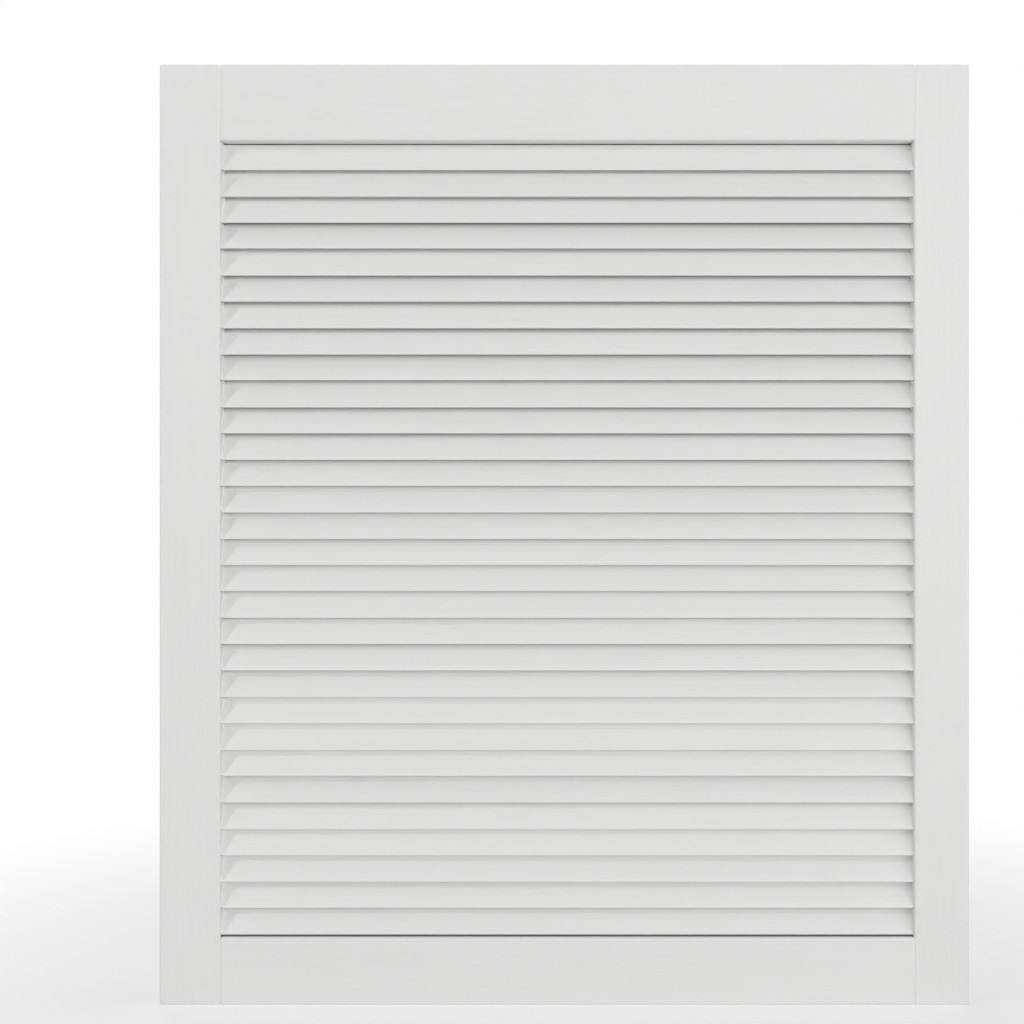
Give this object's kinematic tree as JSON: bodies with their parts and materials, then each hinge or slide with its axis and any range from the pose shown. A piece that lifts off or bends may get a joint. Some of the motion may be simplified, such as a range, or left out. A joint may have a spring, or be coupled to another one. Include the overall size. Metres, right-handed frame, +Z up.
{
  "type": "louvred cabinet door",
  "caption": "Framed cabinet door in satin white paint with fixed, close-set slanted slats between two stiles and two rails.",
  "frame": {"origin": "centre of the left stile's outer edge, the edge that takes the hinges, at mid-height and mid-thickness", "axes": "+X across the door from the hinge edge to the closing edge, +Y from the front face to the back face, +Z up"},
  "size_m": [0.594, 0.021, 0.69],
  "materials": {
    "stile_paint": "satin",
    "rail_paint": "satin",
    "slat_paint": "satin"
  },
  "bodies": {
    "root": {"left_stile": "stile_paint", "right_stile": "stile_paint", "top_rail": "rail_paint", "bottom_rail": "rail_paint", "slat_01": "slat_paint", "slat_02": "slat_paint", "slat_03": "slat_paint", "slat_04": "slat_paint", "slat_05": "slat_paint", "slat_06": "slat_paint", "slat_07": "slat_paint", "slat_08": "slat_paint", "slat_09": "slat_paint", "slat_10": "slat_paint", "slat_11": "slat_paint", "slat_12": "slat_paint", "slat_13": "slat_paint", "slat_14": "slat_paint", "slat_15": "slat_paint", "slat_16": "slat_paint", "slat_17": "slat_paint", "slat_18": "slat_paint", "slat_19": "slat_paint", "slat_20": "slat_paint", "slat_21": "slat_paint", "slat_22": "slat_paint", "slat_23": "slat_paint", "slat_24": "slat_paint", "slat_25": "slat_paint", "slat_26": "slat_paint", "slat_27": "slat_paint", "slat_28": "slat_paint", "slat_29": "slat_paint", "slat_30": "slat_paint"}
  },
  "joints": []
}
